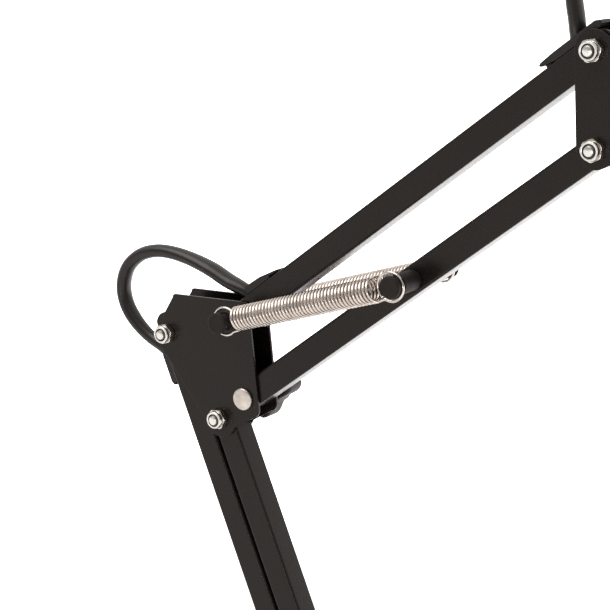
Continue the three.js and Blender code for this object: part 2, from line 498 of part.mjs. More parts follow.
// ---- mains lead: strain relief, lead, coil, plug ---------------------------------------------------------------
add('cord_gland', upright(turnedY([[CORD_R + GAP, GLAND.start], [GLAND.inside, GLAND.start],
  [GLAND.inside, GLAND.wallY], [GLAND.neck, GLAND.wallY], [GLAND.neck, BASE.r + 0.6],
  [GLAND.outside, BASE.r + 0.6], [GLAND.outside, BASE.r + 2.5], [GLAND.neck + 0.4, BASE.r + 5],
  [CORD_R + 1.4, MAINS.glandEnd], [CORD_R + GAP, MAINS.glandEnd], [CORD_R + GAP, GLAND.start]], [0, MAINS.exitZ])),
'black_plastic');

const FLOOR_Z = CORD_R + 0.2;
const [coilX, coilY] = MAINS.coil;
const PLUG = { x: -76, entryY: 208, long: 36, thick: 14, pinLong: 19, pinR: 2, pinGap: 18.6 };
const plugZ = PLUG.thick / 2 + 0.2;
add('mains_lead', cord([[0, MAINS.glandEnd + GAP, MAINS.exitZ], [0, 131, 9.2], [2, 141, 7.3], [7, 151, 5.2],
  [14.5, 160, 4], [23.5, 169, FLOOR_Z], [32.5, 180, FLOOR_Z], [39, 193, FLOOR_Z],
  [42.8, 209, FLOOR_Z]], 9), 'cord_rubber');
const coilHalf = MAINS.columns * CORD_R + GAP;
const coilTop = MAINS.layers * 2 * CORD_R + 0.6;
add('mains_coil', upright(turned([[MAINS.coilR - coilHalf, 0.3], [MAINS.coilR + coilHalf, 0.3],
  [MAINS.coilR + coilHalf, coilTop], [MAINS.coilR - coilHalf, coilTop], [MAINS.coilR - coilHalf, 0.3]], 32)
  .translate(coilX, coilY, 0)), 'cord_rubber');
add('mains_tail', cord([[-44.5, 254.5, 9], [-55, 249.5, 7], [-64.5, 241.5, 5.2], [-71.6, 231, 5], [-75.3, 219, 6.6],
  [PLUG.x, 212, plugZ], [PLUG.x, PLUG.entryY + GAP, plugZ]], 6), 'cord_rubber');

const plugOutline = hullOfDiscs([[-14.5, 3, 3], [14.5, 3, 3], [5.5, PLUG.long - 4, 4], [-5.5, PLUG.long - 4, 4]], 4);
const plugBody = new THREE.ExtrudeGeometry(new THREE.Shape(plugOutline), { depth: PLUG.thick, bevelEnabled: false })
  .translate(PLUG.x, PLUG.entryY - PLUG.long, plugZ - PLUG.thick / 2);
const plugPins = [-1, 1].map((side) => turnedY([[0, 0], [1.2, 0], [PLUG.pinR, 1.2], [PLUG.pinR, PLUG.pinLong + 2],
  [0, PLUG.pinLong + 2]], [PLUG.x + (side * PLUG.pinGap) / 2, plugZ], 12)
  .translate(0, PLUG.entryY - PLUG.long - PLUG.pinLong, 0));
add('mains_plug', join(plugBody, ...plugPins), 'black_plastic');

export default lamp;
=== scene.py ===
"""Looks of a black architect desk lamp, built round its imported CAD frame. Lengths below are in millimetres
until they reach a mesh, in the same frame as the CAD: +Z up, the origin under the base on the swivel axis."""
import math

import bmesh
import bpy
import numpy as np
from mathutils import Matrix, Vector


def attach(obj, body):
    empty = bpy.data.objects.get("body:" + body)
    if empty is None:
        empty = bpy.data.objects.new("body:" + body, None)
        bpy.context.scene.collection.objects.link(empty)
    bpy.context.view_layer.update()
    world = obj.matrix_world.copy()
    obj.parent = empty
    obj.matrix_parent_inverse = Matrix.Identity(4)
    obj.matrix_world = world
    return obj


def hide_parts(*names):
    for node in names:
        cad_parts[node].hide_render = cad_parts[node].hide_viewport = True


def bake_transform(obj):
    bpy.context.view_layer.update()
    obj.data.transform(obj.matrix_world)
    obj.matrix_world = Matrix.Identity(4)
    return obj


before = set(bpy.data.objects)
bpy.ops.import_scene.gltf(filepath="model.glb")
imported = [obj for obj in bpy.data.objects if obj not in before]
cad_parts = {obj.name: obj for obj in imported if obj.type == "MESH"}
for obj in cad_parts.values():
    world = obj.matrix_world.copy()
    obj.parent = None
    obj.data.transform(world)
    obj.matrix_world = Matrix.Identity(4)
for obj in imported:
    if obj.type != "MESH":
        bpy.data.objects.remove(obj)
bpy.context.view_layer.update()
MM = 0.001

# ---- camera --------------------------------------------------------------------------------------
camera_data = bpy.data.cameras.new("camera")
camera_data.lens = 110.06
camera_data.sensor_width = 36
camera_data.clip_start = 0.02
camera_data.clip_end = 100
camera = bpy.data.objects.new("camera", camera_data)
bpy.context.scene.collection.objects.link(camera)
camera.location = (0.4759, -0.7621, 0.6253)
aim = Vector((-0.0475, -0.007, 0.40455)) - camera.location
camera.rotation_euler = aim.to_track_quat("-Z", "Y").to_euler()
bpy.context.scene.camera = camera


# ---- the CAD's dimensions, in millimetres --------------------------------------------------------
def along(point, angle, distance):
    return (point[0] + distance * math.cos(angle), point[1] + distance * math.sin(angle))


def plus(point, step):
    return (point[0] + step[0], point[1] + step[1])


LOWER_RISE = math.radians(113.3)
UPPER_RISE = math.radians(37.12)
LOWER_ARM = 300
UPPER_ARM = 246.7
SPRING_REACH = 127.3
BASE_RIGHT = (17.45, 60.4)
BASE_LEFT = (-17.45, 101.9)
ELBOW_LEFT = along(BASE_LEFT, LOWER_RISE, LOWER_ARM)
ELBOW_RIGHT = along(BASE_RIGHT, LOWER_RISE, LOWER_ARM)
ELBOW_LOW = plus(ELBOW_RIGHT, (15.7, 13.1))
ELBOW_HIGH = plus(ELBOW_LOW, (-2.3, 44.3))
HEAD_LOW = along(ELBOW_LOW, UPPER_RISE, UPPER_ARM)
HEAD_HIGH = along(ELBOW_HIGH, UPPER_RISE, UPPER_ARM)
TILT = plus(HEAD_HIGH, (43.3, -25))
LOWER_POST = along(BASE_RIGHT, LOWER_RISE, SPRING_REACH)
UPPER_POST = along(ELBOW_LOW, UPPER_RISE, SPRING_REACH)

PLATE_IN = 7.3
PLATE_OUT = 8.8
GAP = 0.3
BOLT_R = 3
HOLE_R = 3.3                            # pivot holes in the plates
BUTTON_R = 5.9
BUTTON_DEEP = 1.55
CORD_R = 3.5
SPRING_Y = 24.2
SHADE_TILT = math.radians(20)
SHADE_AT = along(TILT, SHADE_TILT, 38)
MAINS_Z = 9.5


def on_tube(pivot, angle, s, h):
    x, z = along(along(pivot, angle, s), angle + math.pi / 2, h)
    return (x, 0, z)


# ---- curves --------------------------------------------------------------------------------------
def smooth_line(points, step):
    """Points about a step apart on a centripetal Catmull-Rom curve through the given ones."""
    p = np.array(points, float)
    p = np.vstack([2 * p[0] - p[1], p, 2 * p[-1] - p[-2]])
    out = []
    for i in range(1, len(p) - 2):
        spans = [max(np.linalg.norm(p[i + k + 1] - p[i + k]) ** 0.5, 1e-6) for k in (-1, 0, 1)]
        before = (p[i] - p[i - 1]) / spans[0] - (p[i + 1] - p[i - 1]) / (spans[0] + spans[1])
        after = (p[i + 2] - p[i + 1]) / spans[2] - (p[i + 2] - p[i]) / (spans[1] + spans[2])
        middle = (p[i + 1] - p[i]) / spans[1]
        t1 = (before + middle) * spans[1]
        t2 = (after + middle) * spans[1]
        for t in np.linspace(0, 1, 24, endpoint=False):
            out.append((2 * t**3 - 3 * t**2 + 1) * p[i] + (t**3 - 2 * t**2 + t) * t1
                       + (3 * t**2 - 2 * t**3) * p[i + 1] + (t**3 - t**2) * t2)
    out.append(p[-2])
    return evenly(np.array(out), step)


def evenly(line, step):
    distance = np.concatenate([[0], np.cumsum(np.linalg.norm(np.diff(line, axis=0), axis=1))])
    count = max(2, int(round(distance[-1] / step)) + 1)
    at = np.linspace(0, distance[-1], count)
    return np.stack([np.interp(at, distance, line[:, k]) for k in range(3)], axis=1)


# ---- meshes --------------------------------------------------------------------------------------
def piece(name, vertices, faces, materials, smooth_angle=35, metres=False):
    """A mesh object from points in millimetres. materials is one material or several."""
    mesh = bpy.data.meshes.new(name)
    scale = 1 if metres else MM
    mesh.from_pydata([tuple(float(c) * scale for c in v) for v in vertices], [], faces)
    mesh.validate()
    return finished(name, mesh, materials, smooth_angle)


def finished(name, mesh, materials, smooth_angle):
    bm = bmesh.new()
    bm.from_mesh(mesh)
    bmesh.ops.recalc_face_normals(bm, faces=bm.faces)
    bm.to_mesh(mesh)
    bm.free()
    mesh.materials.clear()
    for m in materials if isinstance(materials, (list, tuple)) else [materials]:
        mesh.materials.append(m)
    mesh.shade_smooth()
    mesh.set_sharp_from_angle(angle=math.radians(smooth_angle))
    made = bpy.data.objects.new(name, mesh)
    bpy.context.scene.collection.objects.link(made)
    return made


def tidy_normals(made):
    made.modifiers.new("normals", "WEIGHTED_NORMAL").keep_sharp = True
    return made


def soft_edges(made, width, segments=2, angle=40):
    """Rounds the sharp edges, width in millimetres."""
    bevel = made.modifiers.new("edges", "BEVEL")
    bevel.width = width * MM
    bevel.segments = segments
    bevel.limit_method = "ANGLE"
    bevel.angle_limit = math.radians(angle)
    bevel.miter_outer = "MITER_ARC"
    bevel.use_clamp_overlap = True
    return tidy_normals(made)


def settled(made):
    """The same object with its modifiers applied to its mesh."""
    bpy.context.view_layer.update()
    depsgraph = bpy.context.evaluated_depsgraph_get()
    mesh = bpy.data.meshes.new_from_object(made.evaluated_get(depsgraph), depsgraph=depsgraph)
    made.modifiers.clear()
    made.data = mesh
    return made


def lathe(profile, segments=64, turn=None, at=(0, 0, 0)):
    """Vertices and faces of a profile [radius, height] turned round an axis; turn takes +Z to that axis."""
    vertices, faces, rings = [], [], []
    for r, h in profile:
        if r < 1e-6:
            rings.append([len(vertices)])
            vertices.append(Vector((0, 0, h)))
        else:
            rings.append(list(range(len(vertices), len(vertices) + segments)))
            for k in range(segments):
                a = 2 * math.pi * k / segments
                vertices.append(Vector((r * math.cos(a), r * math.sin(a), h)))
    for low, high in zip(rings, rings[1:]):
        for k in range(segments):
            n = (k + 1) % segments
            if len(low) == 1 and len(high) > 1:
                faces.append((low[0], high[n], high[k]))
            elif len(high) == 1 and len(low) > 1:
                faces.append((low[k], low[n], high[0]))
            elif len(low) > 1:
                faces.append((low[k], low[n], high[n], high[k]))
    if turn is not None:
        vertices = [turn @ v for v in vertices]
    return [v + Vector(at) for v in vertices], faces


def closed(profile):
    return [*profile, profile[0]]


AXIS_Y = Matrix(((1, 0, 0), (0, 0, 1), (0, -1, 0)))        # heights run along +Y


def in_shade(point):
    """A point of the shade's own frame, axis along Z, in the lamp's frame."""
    x, y, z = point
    c, s = math.cos(SHADE_TILT), math.sin(SHADE_TILT)
    return Vector((SHADE_AT[0] + c * x - s * z, y, SHADE_AT[1] + s * x + c * z))


def merged(*parts):
    vertices, faces = [], []
    for v, f in parts:
        shift = len(vertices)
        vertices += list(v)
        faces += [tuple(i + shift for i in face) for face in f]
    return vertices, faces


def sweep(line, radius, sides=20, side_hint=(0, 1, 0), caps=True, widen=1.0):
    """A round tube along a line; radius, and widen which stretches it along the hint, may differ along it."""
    line = np.array(line, float)
    n = len(line)
    radii = np.full(n, radius, float) if np.isscalar(radius) else np.array(radius, float)
    wide = radii * (np.full(n, widen, float) if np.isscalar(widen) else np.array(widen, float))
    tangent = np.gradient(line, axis=0)
    tangent /= np.linalg.norm(tangent, axis=1)[:, None]
    u = np.array(side_hint, float)
    u -= tangent[0] * (u @ tangent[0])
    u /= np.linalg.norm(u)
    vertices = []
    for i in range(n):
        u = u - tangent[i] * (u @ tangent[i])
        u /= np.linalg.norm(u)
        v = np.cross(tangent[i], u)
        for k in range(sides):
            a = 2 * math.pi * k / sides
            vertices.append(line[i] + wide[i] * math.cos(a) * u + radii[i] * math.sin(a) * v)
    faces = []
    for i in range(n - 1):
        here, there = i * sides, (i + 1) * sides
        for k in range(sides):
            n_k = (k + 1) % sides
            faces.append((here + k, here + n_k, there + n_k, there + k))
    if caps:
        faces.append(tuple(range(sides))[::-1])
        faces.append(tuple(range((n - 1) * sides, n * sides)))
    return vertices, faces


def outer_tangent(a, b):
    heading = math.atan2(b[1] - a[1], b[0] - a[0])
    return heading - math.pi / 2 + math.asin((b[2] - a[2]) / math.hypot(b[0] - a[0], b[1] - a[1]))


def hull_of_discs(discs, step=math.radians(6)):
    """The outline round discs (x, z, radius) that are given anticlockwise."""
    points = []
    for i, (x, z, r) in enumerate(discs):
        leave = outer_tangent(discs[i], discs[(i + 1) % len(discs)])
        arrive = outer_tangent(discs[i - 1], discs[i])
        sweep_angle = (leave - arrive) % (2 * math.pi)
        steps = max(2, int(sweep_angle / step))
        for k in range(steps + 1):
            a = arrive + sweep_angle * k / steps
            points.append((x + r * math.cos(a), z + r * math.sin(a)))
    return points


def circle(x, z, r, count=32):
    return [(x + r * math.cos(2 * math.pi * k / count), z + r * math.sin(2 * math.pi * k / count))
            for k in range(count)]


def slab_mesh(outline, y_low, y_high, edge, holes=(), rounds=3):
    """A flat plate in XZ with rounded edges and holes, made thick along Y, as vertices and faces."""
    curve = bpy.data.curves.new("outline", "CURVE")
    curve.dimensions = "2D"
    curve.fill_mode = "BOTH"
    curve.extrude = (y_high - y_low) / 2 - edge
    curve.bevel_depth = edge
    curve.bevel_resolution = rounds
    curve.offset = -edge
    for loop in (outline, *holes):
        spline = curve.splines.new("POLY")
        spline.points.add(len(loop) - 1)
        for p, (x, z) in zip(spline.points, loop):
            p.co = (x, z, 0, 1)
        spline.use_cyclic_u = True
    holder = bpy.data.objects.new("outline", curve)
    bpy.context.scene.collection.objects.link(holder)
    bpy.context.view_layer.update()
    depsgraph = bpy.context.evaluated_depsgraph_get()
    mesh = bpy.data.meshes.new_from_object(holder.evaluated_get(depsgraph))
    bm = bmesh.new()
    bm.from_mesh(mesh)
    bmesh.ops.remove_doubles(bm, verts=bm.verts, dist=1e-4)
    middle = (y_high + y_low) / 2
    vertices = [(v.co.x, middle - v.co.z, v.co.y) for v in bm.verts]
    faces = [tuple(v.index for v in f.verts) for f in bm.faces]
    bm.free()
    bpy.data.objects.remove(holder)
    bpy.data.curves.remove(curve)
    bpy.data.meshes.remove(mesh)
    return vertices, faces


def refined(node, name, body, material, slot, edge=0.25, segments=2, smooth=38):
    """A finer copy of a CAD node: welded, flat faces joined, edges rounded."""
    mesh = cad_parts[node].data.copy()
    bm = bmesh.new()
    bm.from_mesh(mesh)
    bmesh.ops.remove_doubles(bm, verts=bm.verts, dist=2e-6)
    bmesh.ops.dissolve_limit(bm, angle_limit=math.radians(1.5), verts=bm.verts, edges=bm.edges)
    bm.to_mesh(mesh)
    bm.free()
    made = finished(name, mesh, material, smooth)
    if edge:
        soft_edges(made, edge, segments)
    else:
        tidy_normals(made)
    return placed(made, body, slot, node)


def placed(made, body, slot, *nodes):
    """The piece rides on a body and stands for CAD nodes; slot is not used."""
    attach(made, body)
    if nodes:
        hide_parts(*nodes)
    return made


# ---- materials -----------------------------------------------------------------------------------
class Nodes:
    """A new material's node tree, with short calls for what the materials below use."""

    def __init__(self, name, **fixed):
        self.material = bpy.data.materials.new(name)
        self.material.use_nodes = True
        self.tree = self.material.node_tree
        self.shader = self.tree.nodes["Principled BSDF"]
        for key, value in fixed.items():
            self.shader.inputs[key.replace("_", " ")].default_value = value
        self.place = self.tree.nodes.new("ShaderNodeTexCoord").outputs["Object"]

    def link(self, output, node, socket):
        self.tree.links.new(output, node.inputs[socket])

    def stretched(self, scale):
        node = self.tree.nodes.new("ShaderNodeMapping")
        node.inputs["Scale"].default_value = scale
        self.link(self.place, node, "Vector")
        return node.outputs["Vector"]

    def noise(self, scale, detail=3, roughness=0.5, vector=None):
        node = self.tree.nodes.new("ShaderNodeTexNoise")
        node.inputs["Scale"].default_value = scale
        node.inputs["Detail"].default_value = detail
        node.inputs["Roughness"].default_value = roughness
        self.link(self.place if vector is None else vector, node, "Vector")
        return node.outputs["Fac"]

    def ramp(self, value, low, high, start=0.3, end=0.7):
        """A colour between low and high as value runs from start to end."""
        node = self.tree.nodes.new("ShaderNodeValToRGB")
        node.color_ramp.elements[0].position = start
        node.color_ramp.elements[1].position = end
        node.color_ramp.elements[0].color = (*low, 1)
        node.color_ramp.elements[1].color = (*high, 1)
        self.link(value, node, "Fac")
        return node.outputs["Color"]

    def span(self, value, low, high):
        """A number between low and high as value runs from 0.25 to 0.75."""
        node = self.tree.nodes.new("ShaderNodeMapRange")
        node.inputs["From Min"].default_value = 0.25
        node.inputs["From Max"].default_value = 0.75
        node.inputs["To Min"].default_value = low
        node.inputs["To Max"].default_value = high
        self.link(value, node, "Value")
        return node.outputs["Result"]

    def between(self, value, start, end, high):
        """A node whose result runs from 0 to high as value runs from start to end."""
        node = self.tree.nodes.new("ShaderNodeMapRange")
        node.inputs["From Min"].default_value = start
        node.inputs["From Max"].default_value = end
        node.inputs["To Max"].default_value = high
        self.link(value, node, "Value")
        return node

    def bump(self, *heights):
        """Bump from (height, strength, distance in millimetres) one after another."""
        last = None
        for height, strength, distance in heights:
            node = self.tree.nodes.new("ShaderNodeBump")
            node.inputs["Strength"].default_value = strength
            node.inputs["Distance"].default_value = distance * MM
            self.link(height, node, "Height")
            if last is not None:
                self.link(last, node, "Normal")
            last = node.outputs["Normal"]
        self.link(last, self.shader, "Normal")


MIX_COLOUR_A, MIX_COLOUR_B, MIX_COLOUR_RESULT = 6, 7, 2      # the Mix node's sockets in its colour mode


def make_enamel(name, dark, light, rough, shine=0.28, edge_wear_and_highlight=True):
    """Satin powder coat: fine orange peel, faint cloudiness, edges painted a little paler, partly wear and
    partly a painted highlight.
    """
    m = Nodes(name, IOR=1.5, Specular_IOR_Level=shine)
    m.shader.inputs["Specular Tint"].default_value = (1, 0.89, 0.83, 1)
    clouds = m.noise(22, 4)
    peel = m.noise(2600, 2)
    grain = m.noise(6500, 2)
    colour = m.ramp(clouds, dark, light)
    if edge_wear_and_highlight:
        # sharp edges painted paler: a painted highlight along the edges, with a little wear
        wear_and_highlight_mask = m.tree.nodes.new("ShaderNodeNewGeometry").outputs["Pointiness"]
        edge = m.ramp(wear_and_highlight_mask, (0, 0, 0), (1, 1, 1), 0.56, 0.66)
        mix = m.tree.nodes.new("ShaderNodeMix")
        mix.data_type = "RGBA"
        m.link(edge, mix, "Factor")
        m.link(colour, mix, MIX_COLOUR_A)
        mix.inputs[MIX_COLOUR_B].default_value = (0.060, 0.052, 0.047, 1)
        colour = mix.outputs[MIX_COLOUR_RESULT]
    m.link(colour, m.shader, "Base Color")
    m.link(m.span(m.noise(420, 3), rough - 0.04, rough + 0.04), m.shader, "Roughness")
    m.bump((peel, 0.12, 0.05), (grain, 0.08, 0.02))
    return m.material


def make_metal(name, dark, light, low, high, scratch, stretch=(1, 1, 1), bump=0.1):
    """Plated steel: streaked roughness, faint staining, fine drawing or handling marks."""
    m = Nodes(name, Metallic=1.0)
    streaks = m.noise(scratch, 4, 0.6, m.stretched(stretch))
    m.link(m.ramp(m.noise(160, 4, 0.6), dark, light), m.shader, "Base Color")
    m.link(m.span(streaks, low, high), m.shader, "Roughness")
    m.bump((streaks, bump, 0.02))
    return m.material


def make_plastic(name, dark, light, low, high, grain_size, grain_depth, shine=0.35):
    m = Nodes(name, IOR=1.48, Specular_IOR_Level=shine)
    m.shader.inputs["Specular Tint"].default_value = (1, 0.93, 0.90, 1)
    m.link(m.ramp(m.noise(60, 3), dark, light), m.shader, "Base Color")
    m.link(m.span(m.noise(500, 3), low, high), m.shader, "Roughness")
    m.bump((m.noise(grain_size, 2), 0.25, grain_depth))
    return m.material


enamel = make_enamel("black_enamel", (0.0058, 0.0040, 0.0033), (0.0078, 0.0056, 0.0047), 0.27, 0.24)
post_enamel = make_enamel("post_enamel", (0.0084, 0.0062, 0.0054), (0.0108, 0.0082, 0.0072), 0.66, 0.24,
                          edge_wear_and_highlight=False)
zinc = make_metal("zinc", (0.66, 0.62, 0.58), (0.80, 0.76, 0.71), 0.16, 0.28, 900, bump=0.03)
# darker zinc for the bolt threads: painted shade in the grooves and on the tip's chamfer
thread_shade_metal = make_metal("thread_zinc_painted_shade", (0.10, 0.092, 0.086), (0.20, 0.185, 0.17), 0.34, 0.50, 900,
                          bump=0.05)
button_metal = make_metal("button_zinc", (0.46, 0.40, 0.35), (0.70, 0.63, 0.56), 0.26, 0.46, 420, bump=0.3)
nickel = make_metal("nickel", (0.50, 0.43, 0.38), (0.76, 0.68, 0.62), 0.12, 0.22, 1400)
plastic = make_plastic("black_plastic", (0.0072, 0.0058, 0.0052), (0.0105, 0.0086, 0.0078), 0.40, 0.52,
                       1800, 0.05)
rubber = make_plastic("cord_rubber", (0.0062, 0.0048, 0.0044), (0.0092, 0.0074, 0.0068), 0.28, 0.36,
                      1300, 0.05, 0.4)
nylon = make_plastic("nylon_insert", (0.030, 0.028, 0.028), (0.050, 0.047, 0.046), 0.4, 0.5, 900, 0.03)
white_inside = make_enamel("white_inside", (0.72, 0.71, 0.68), (0.80, 0.79, 0.76), 0.34, 0.5, edge_wear_and_highlight=False)


def make_iron():
    m = Nodes("cast_iron", Metallic=0.6)
    m.link(m.ramp(m.noise(90, 6, 0.7), (0.05, 0.045, 0.042), (0.13, 0.12, 0.115)), m.shader, "Base Color")
    m.link(m.span(m.noise(700, 4), 0.6, 0.85), m.shader, "Roughness")
    m.bump((m.noise(900, 6, 0.7), 0.6, 0.4))
    return m.material


def make_felt():
    m = Nodes("felt", Sheen_Weight=0.4, Sheen_Roughness=0.5)
    m.link(m.ramp(m.noise(1500, 5, 0.7), (0.01, 0.01, 0.01), (0.035, 0.034, 0.033)), m.shader, "Base Color")
    m.link(m.span(m.noise(900, 4), 0.85, 1.0), m.shader, "Roughness")
    m.bump((m.noise(2600, 5, 0.7, m.stretched((1, 3, 1))), 0.7, 0.3))
    return m.material


def make_opal():
    m = Nodes("opal_glass", Coat_Weight=0.6, Coat_Roughness=0.08, IOR=1.5, Subsurface_Weight=0.35)
    m.shader.inputs["Subsurface Radius"].default_value = (0.006, 0.006, 0.005)
    m.link(m.ramp(m.noise(35, 2), (0.86, 0.85, 0.81), (0.93, 0.92, 0.89)), m.shader, "Base Color")
    m.link(m.span(m.noise(300, 2), 0.16, 0.24), m.shader, "Roughness")
    return m.material


iron = make_iron()
felt = make_felt()
opal = make_opal()
brass = make_metal("brass", (0.62, 0.43, 0.17), (0.80, 0.62, 0.30), 0.20, 0.38, 700)

# ---- cords held by the lamp ----------------------------------------------------------------------
CORD_STEP = 1.6
INNER_END = 34                          # where a cord reaches the straight stretch inside a tube
# ways into a tube, as (distance along it from its pivot, height over its middle line)
LOWER_ENTRY = [(5.5, 13.6), (8.4, 11.4), (12, 8.5), (16, 5.3), (21, 2.3), (26.5, 0.3), (31, 0),
               (INNER_END - GAP, 0)]
ELBOW_ENTRY = [(4.6, 11.9), (7, 7.2), (10.2, 3.6), (14.5, 1.4), (20, 0.4), (INNER_END - GAP, 0)]
HEAD_ENTRY = [(7.4, 9.8), (9.8, 6.2), (13.5, 3.2), (19, 1.2), (26, 0.3), (INNER_END - GAP, 0)]


def into_tube(entry, pivot, angle):
    return [on_tube(pivot, angle, s, h) for s, h in entry]


def out_of_tube(entry, pivot, angle, length):
    return [on_tube(pivot, angle, length - s, h) for s, h in entry][::-1]


def in_plane(origin, points):
    return [(origin[0] + dx, 0, origin[1] + dz) for dx, dz in points]


def nearest(line, point):
    """The number of the line's point closest to a place; a held cord is split there."""
    return int(np.argmin(np.linalg.norm(line - np.array(point), axis=1)))


def swollen(line, share_widths):
    """Half heights and width factors along a held cord, from pairs of (share of its length, width factor)."""
    run = np.concatenate([[0], np.cumsum(np.linalg.norm(np.diff(line, axis=0), axis=1))])
    wide = np.interp(run / run[-1], *zip(*share_widths))
    return CORD_R * (1 + 0.12 * (wide - 1)), wide


def cord_stretch(name, line, shape, nodes=()):
    """A stretch of cord swept along a line, with its half heights and width factors, left in the lamp's
    frame.
    """
    made = piece(name, *sweep(line, shape[0], 24, widen=shape[1]), rubber, 60)
    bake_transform(made)
    if nodes:
        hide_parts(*nodes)
    return made


base_line = smooth_line([(0, 0, 20.6), (0, 0, 36), (0, 0, 50), (-2, 0, 57), (-9, 0, 64), (-20, 0, 68),
                         (-29, 0, 74), (-33.5, 0, 84), (-34.5, 0, 94),
                         *into_tube(LOWER_ENTRY, BASE_LEFT, LOWER_RISE)], CORD_STEP)
cord_stretch("base_cord", base_line, swollen(base_line, [(0, 1), (1, 1)]),
             ["base_cord_loop"])

elbow_line = smooth_line([*out_of_tube(LOWER_ENTRY, BASE_LEFT, LOWER_RISE, LOWER_ARM),
                          *in_plane(ELBOW_LOW, [(-69.8, 22), (-79.5, 29.6), (-85.7, 38.4), (-87.5, 48.3),
                                                (-84.4, 58.2), (-75.7, 66.3), (-65.3, 70), (-55.2, 70.6),
                                                (-42, 68.9), (-26.8, 64.7), (-15.5, 59.9)]),
                          *into_tube(ELBOW_ENTRY, ELBOW_HIGH, UPPER_RISE)], CORD_STEP)
elbow_shape = swollen(elbow_line, [(0, 1), (0.2, 1.03), (0.28, 1.3), (0.45, 1.36), (0.56, 1.15), (0.64, 1.3),
                                   (0.72, 1.55), (0.8, 1.5), (0.86, 1.05), (1, 1)])
elbow_top = nearest(elbow_line, in_plane(ELBOW_LOW, [(-75.7, 66.3)])[0])
cord_stretch("elbow_cord_lower", elbow_line[:elbow_top + 1], [v[:elbow_top + 1] for v in elbow_shape],
             ["elbow_cord_loop"])
cord_stretch("elbow_cord_upper", elbow_line[elbow_top:], [v[elbow_top:] for v in elbow_shape])

CUP_CORD = -12                          # the cord's hole in the socket cup, from the shade's axis
cup_points = [tuple(in_shade((CUP_CORD, 0, h))) for h in (42, 30, 20)]
head_line = smooth_line([*out_of_tube(HEAD_ENTRY, ELBOW_HIGH, UPPER_RISE, UPPER_ARM),
                         *in_plane(HEAD_HIGH, [(-12.9, 12), (-14.5, 20.7), (-15.6, 36), (-11, 51), (0, 61),
                                               (15, 64), (30, 59), (42, 47)]), *cup_points], CORD_STEP)
head_shape = swollen(head_line, [(0, 1), (0.13, 1.02), (0.18, 1.45), (0.3, 1.5), (0.7, 1.3), (0.85, 1.05),
                                 (1, 1)])
head_top = nearest(head_line, in_plane(HEAD_HIGH, [(0, 61)])[0])
cord_stretch("head_cord_arm", head_line[:head_top + 1], [v[:head_top + 1] for v in head_shape],
             ["head_cord_loop"])
cord_stretch("head_cord_shade", head_line[head_top:], [v[head_top:] for v in head_shape])

# ---- mains lead, coil and plug -------------------------------------------------------------------
COIL = (-10, 212)                       # its middle on the floor
COIL_MIDDLE = 38                        # radius of its middle column of turns
COLUMN_STEP = 7.2
LAYER_Z = (4.4, 11.5)
TURN_STEPS = 15
LAST_CLIMB = 6.5


def eased(value, start, end):
    """From 0 to 1 as value runs from start to end, gently at both ends."""
    share = min(1.0, max(0.0, (value - start) / (end - start)))
    return share * share * (3 - 2 * share)


def on_coil(r, a, z):
    return (COIL[0] + r * math.cos(a), COIL[1] + r * math.sin(a), z)


def coil_points():
    """The lead lies onto the outside of the coil, spirals inward, climbs a layer and spirals out."""
    columns = [COIL_MIDDLE + COLUMN_STEP, COIL_MIDDLE, COIL_MIDDLE - COLUMN_STEP]
    plan = [(r, LAYER_Z[0]) for r in columns] + [(r, LAYER_Z[1]) for r in reversed(columns)]
    points = []
    for (radius, height), (next_radius, next_height) in zip(plan, plan[1:]):
        for k in range(TURN_STEPS):
            share = eased(k, 9, TURN_STEPS)
            points.append(on_coil(radius + (next_radius - radius) * share, 2 * math.pi * k / TURN_STEPS,
                                  height + (next_height - height) * share))
    return points


def last_turn_points():
    """The last turn lies outermost on the upper layer, then climbs onto it and ends on top."""
    points = []
    for k in range(20):
        a = 0.415 * k
        inward = COLUMN_STEP / 2 * eased(a, 4.2, 6.2)
        climb = LAST_CLIMB * eased(a, 3.0, 4.2)
        points.append(on_coil(COIL_MIDDLE + COLUMN_STEP - inward, a, LAYER_Z[1] + climb))
    return points


PLUG = {"x": -76, "entry": 208, "long": 36, "thick": 14, "low": 0.2, "pin": 19, "gap": 18.6,
        "front_half": 14.5, "entry_half": 5.5}
PLUG_Z = PLUG["low"] + PLUG["thick"] / 2
mains_points = [(0, 100, MAINS_Z), (0, 112, MAINS_Z), (0, 122.3, MAINS_Z), (0, 131, 9.2), (2, 141, 7.3),
                (7, 151, 5.2), (14.5, 160, 4), (23, 169.5, 3.8), (30, 181, 4), (34, 195, 4.3),
                *coil_points(), *last_turn_points(),
                (-22, 255, 18.4), (-33, 255.5, 17.2), (-43.5, 252.5, 13.6), (-53, 247, 9.2),
                (-61.5, 239.5, 6.2), (-68.5, 230, 5.2), (-73.4, 220, 6),
                (PLUG["x"], 212, PLUG_Z), (PLUG["x"], 208.3, PLUG_Z), (PLUG["x"], 203, PLUG_Z)]
mains_line = smooth_line(mains_points, 2.0)
mains = piece("mains_cord", *sweep(mains_line, CORD_R, 16, (1, 0, 0)), rubber, 60)
placed(mains, "base", "cord_rubber", "mains_lead", "mains_coil", "mains_tail")


